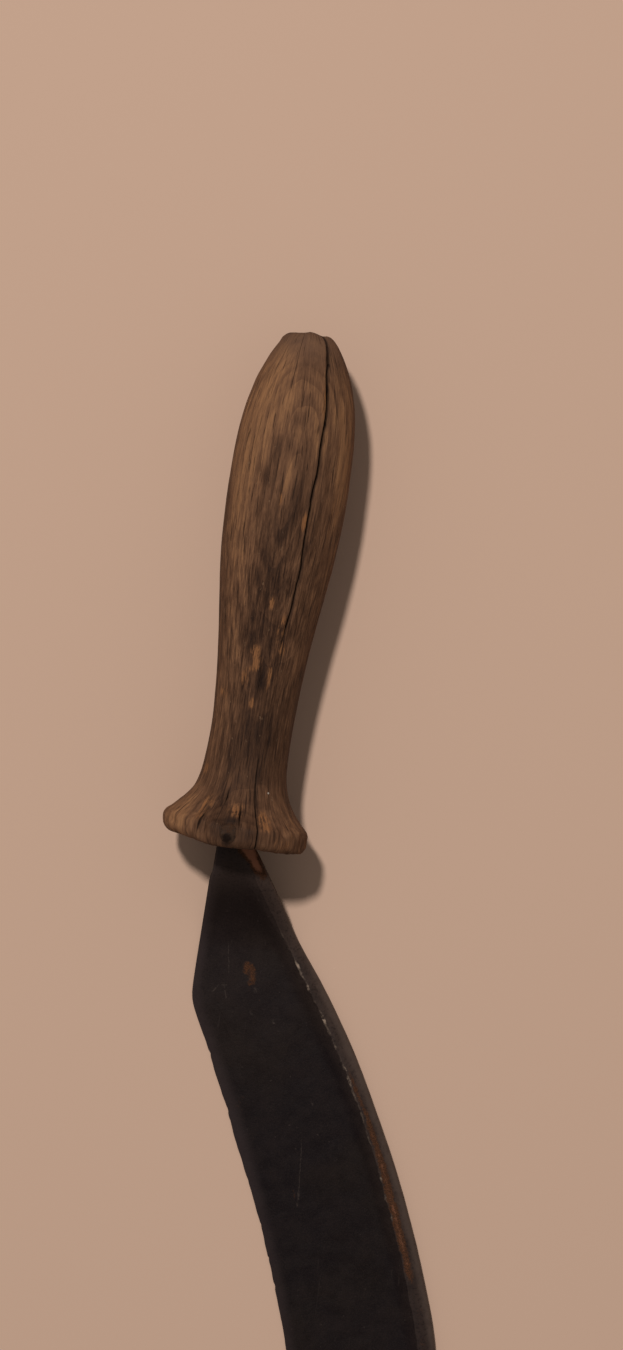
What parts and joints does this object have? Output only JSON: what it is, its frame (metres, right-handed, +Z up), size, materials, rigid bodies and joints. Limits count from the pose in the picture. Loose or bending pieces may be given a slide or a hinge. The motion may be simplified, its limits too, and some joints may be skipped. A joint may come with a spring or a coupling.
{
  "type": "sickle",
  "caption": "Hand-forged sickle: a hooked blade with a ribbed back and a honed inner edge, its tang driven into a turned wooden handle with a flared collar.",
  "frame": {"origin": "Centre of the sickle's outline in plan, on the flat that it lies on.", "axes": "+Z is up from the flat the sickle lies on, with the ribbed face of the blade up. +Y runs along the handle from the blade to the butt. +X is the side that the back of the blade first swings out to."},
  "size_m": [0.1818, 0.383, 0.0366],
  "materials": {
    "forged_iron": "black forge scale with rust spots, worn bright along the rib's crest and the edge",
    "handle_wood": "old turned hardwood, bare, brown-grey, with open grain and drying cracks",
    "rusty_nail": "rusted wrought iron"
  },
  "bodies": {
    "root": {"blade": "forged_iron", "handle": "handle_wood", "collar_nail": "rusty_nail"}
  },
  "joints": []
}
